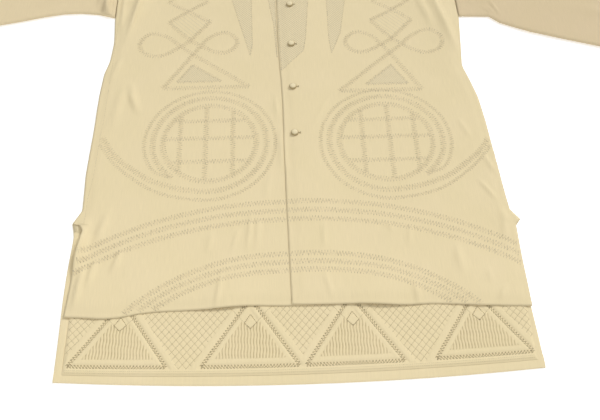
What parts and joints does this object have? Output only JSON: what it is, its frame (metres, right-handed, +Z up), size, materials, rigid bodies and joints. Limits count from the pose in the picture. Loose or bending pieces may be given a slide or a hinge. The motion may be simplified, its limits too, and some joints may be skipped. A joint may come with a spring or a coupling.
{
  "type": "embroidered long shirt",
  "caption": "Long-sleeved cream cotton shirt laid flat, with a buttoned front, side vents, a long back tail with a quilted band, and zigzag-stitched rings, arcs and triangles.",
  "frame": {"origin": "middle of the shirt's box, on the surface that it lies on", "axes": "+X across the shirt towards the wearer's left sleeve, +Y from the tail towards the neck, +Z up off the surface"},
  "size_m": [1.5298, 0.972, 0.0088],
  "materials": {
    "shirt_cloth": "matte cream cotton with a faint plain weave",
    "band_cloth": "matte cream cotton, quilted and ribbed",
    "button": "cloth-covered, pale cream, domed"
  },
  "bodies": {
    "root": {"back": "shirt_cloth", "front_right": "shirt_cloth", "front_left": "shirt_cloth", "sleeve_right": "shirt_cloth", "sleeve_left": "shirt_cloth", "neckband": "shirt_cloth", "tail_band": "band_cloth", "button_1": "button", "button_2": "button", "button_3": "button", "button_4": "button", "button_5": "button", "button_6": "button"}
  },
  "joints": []
}
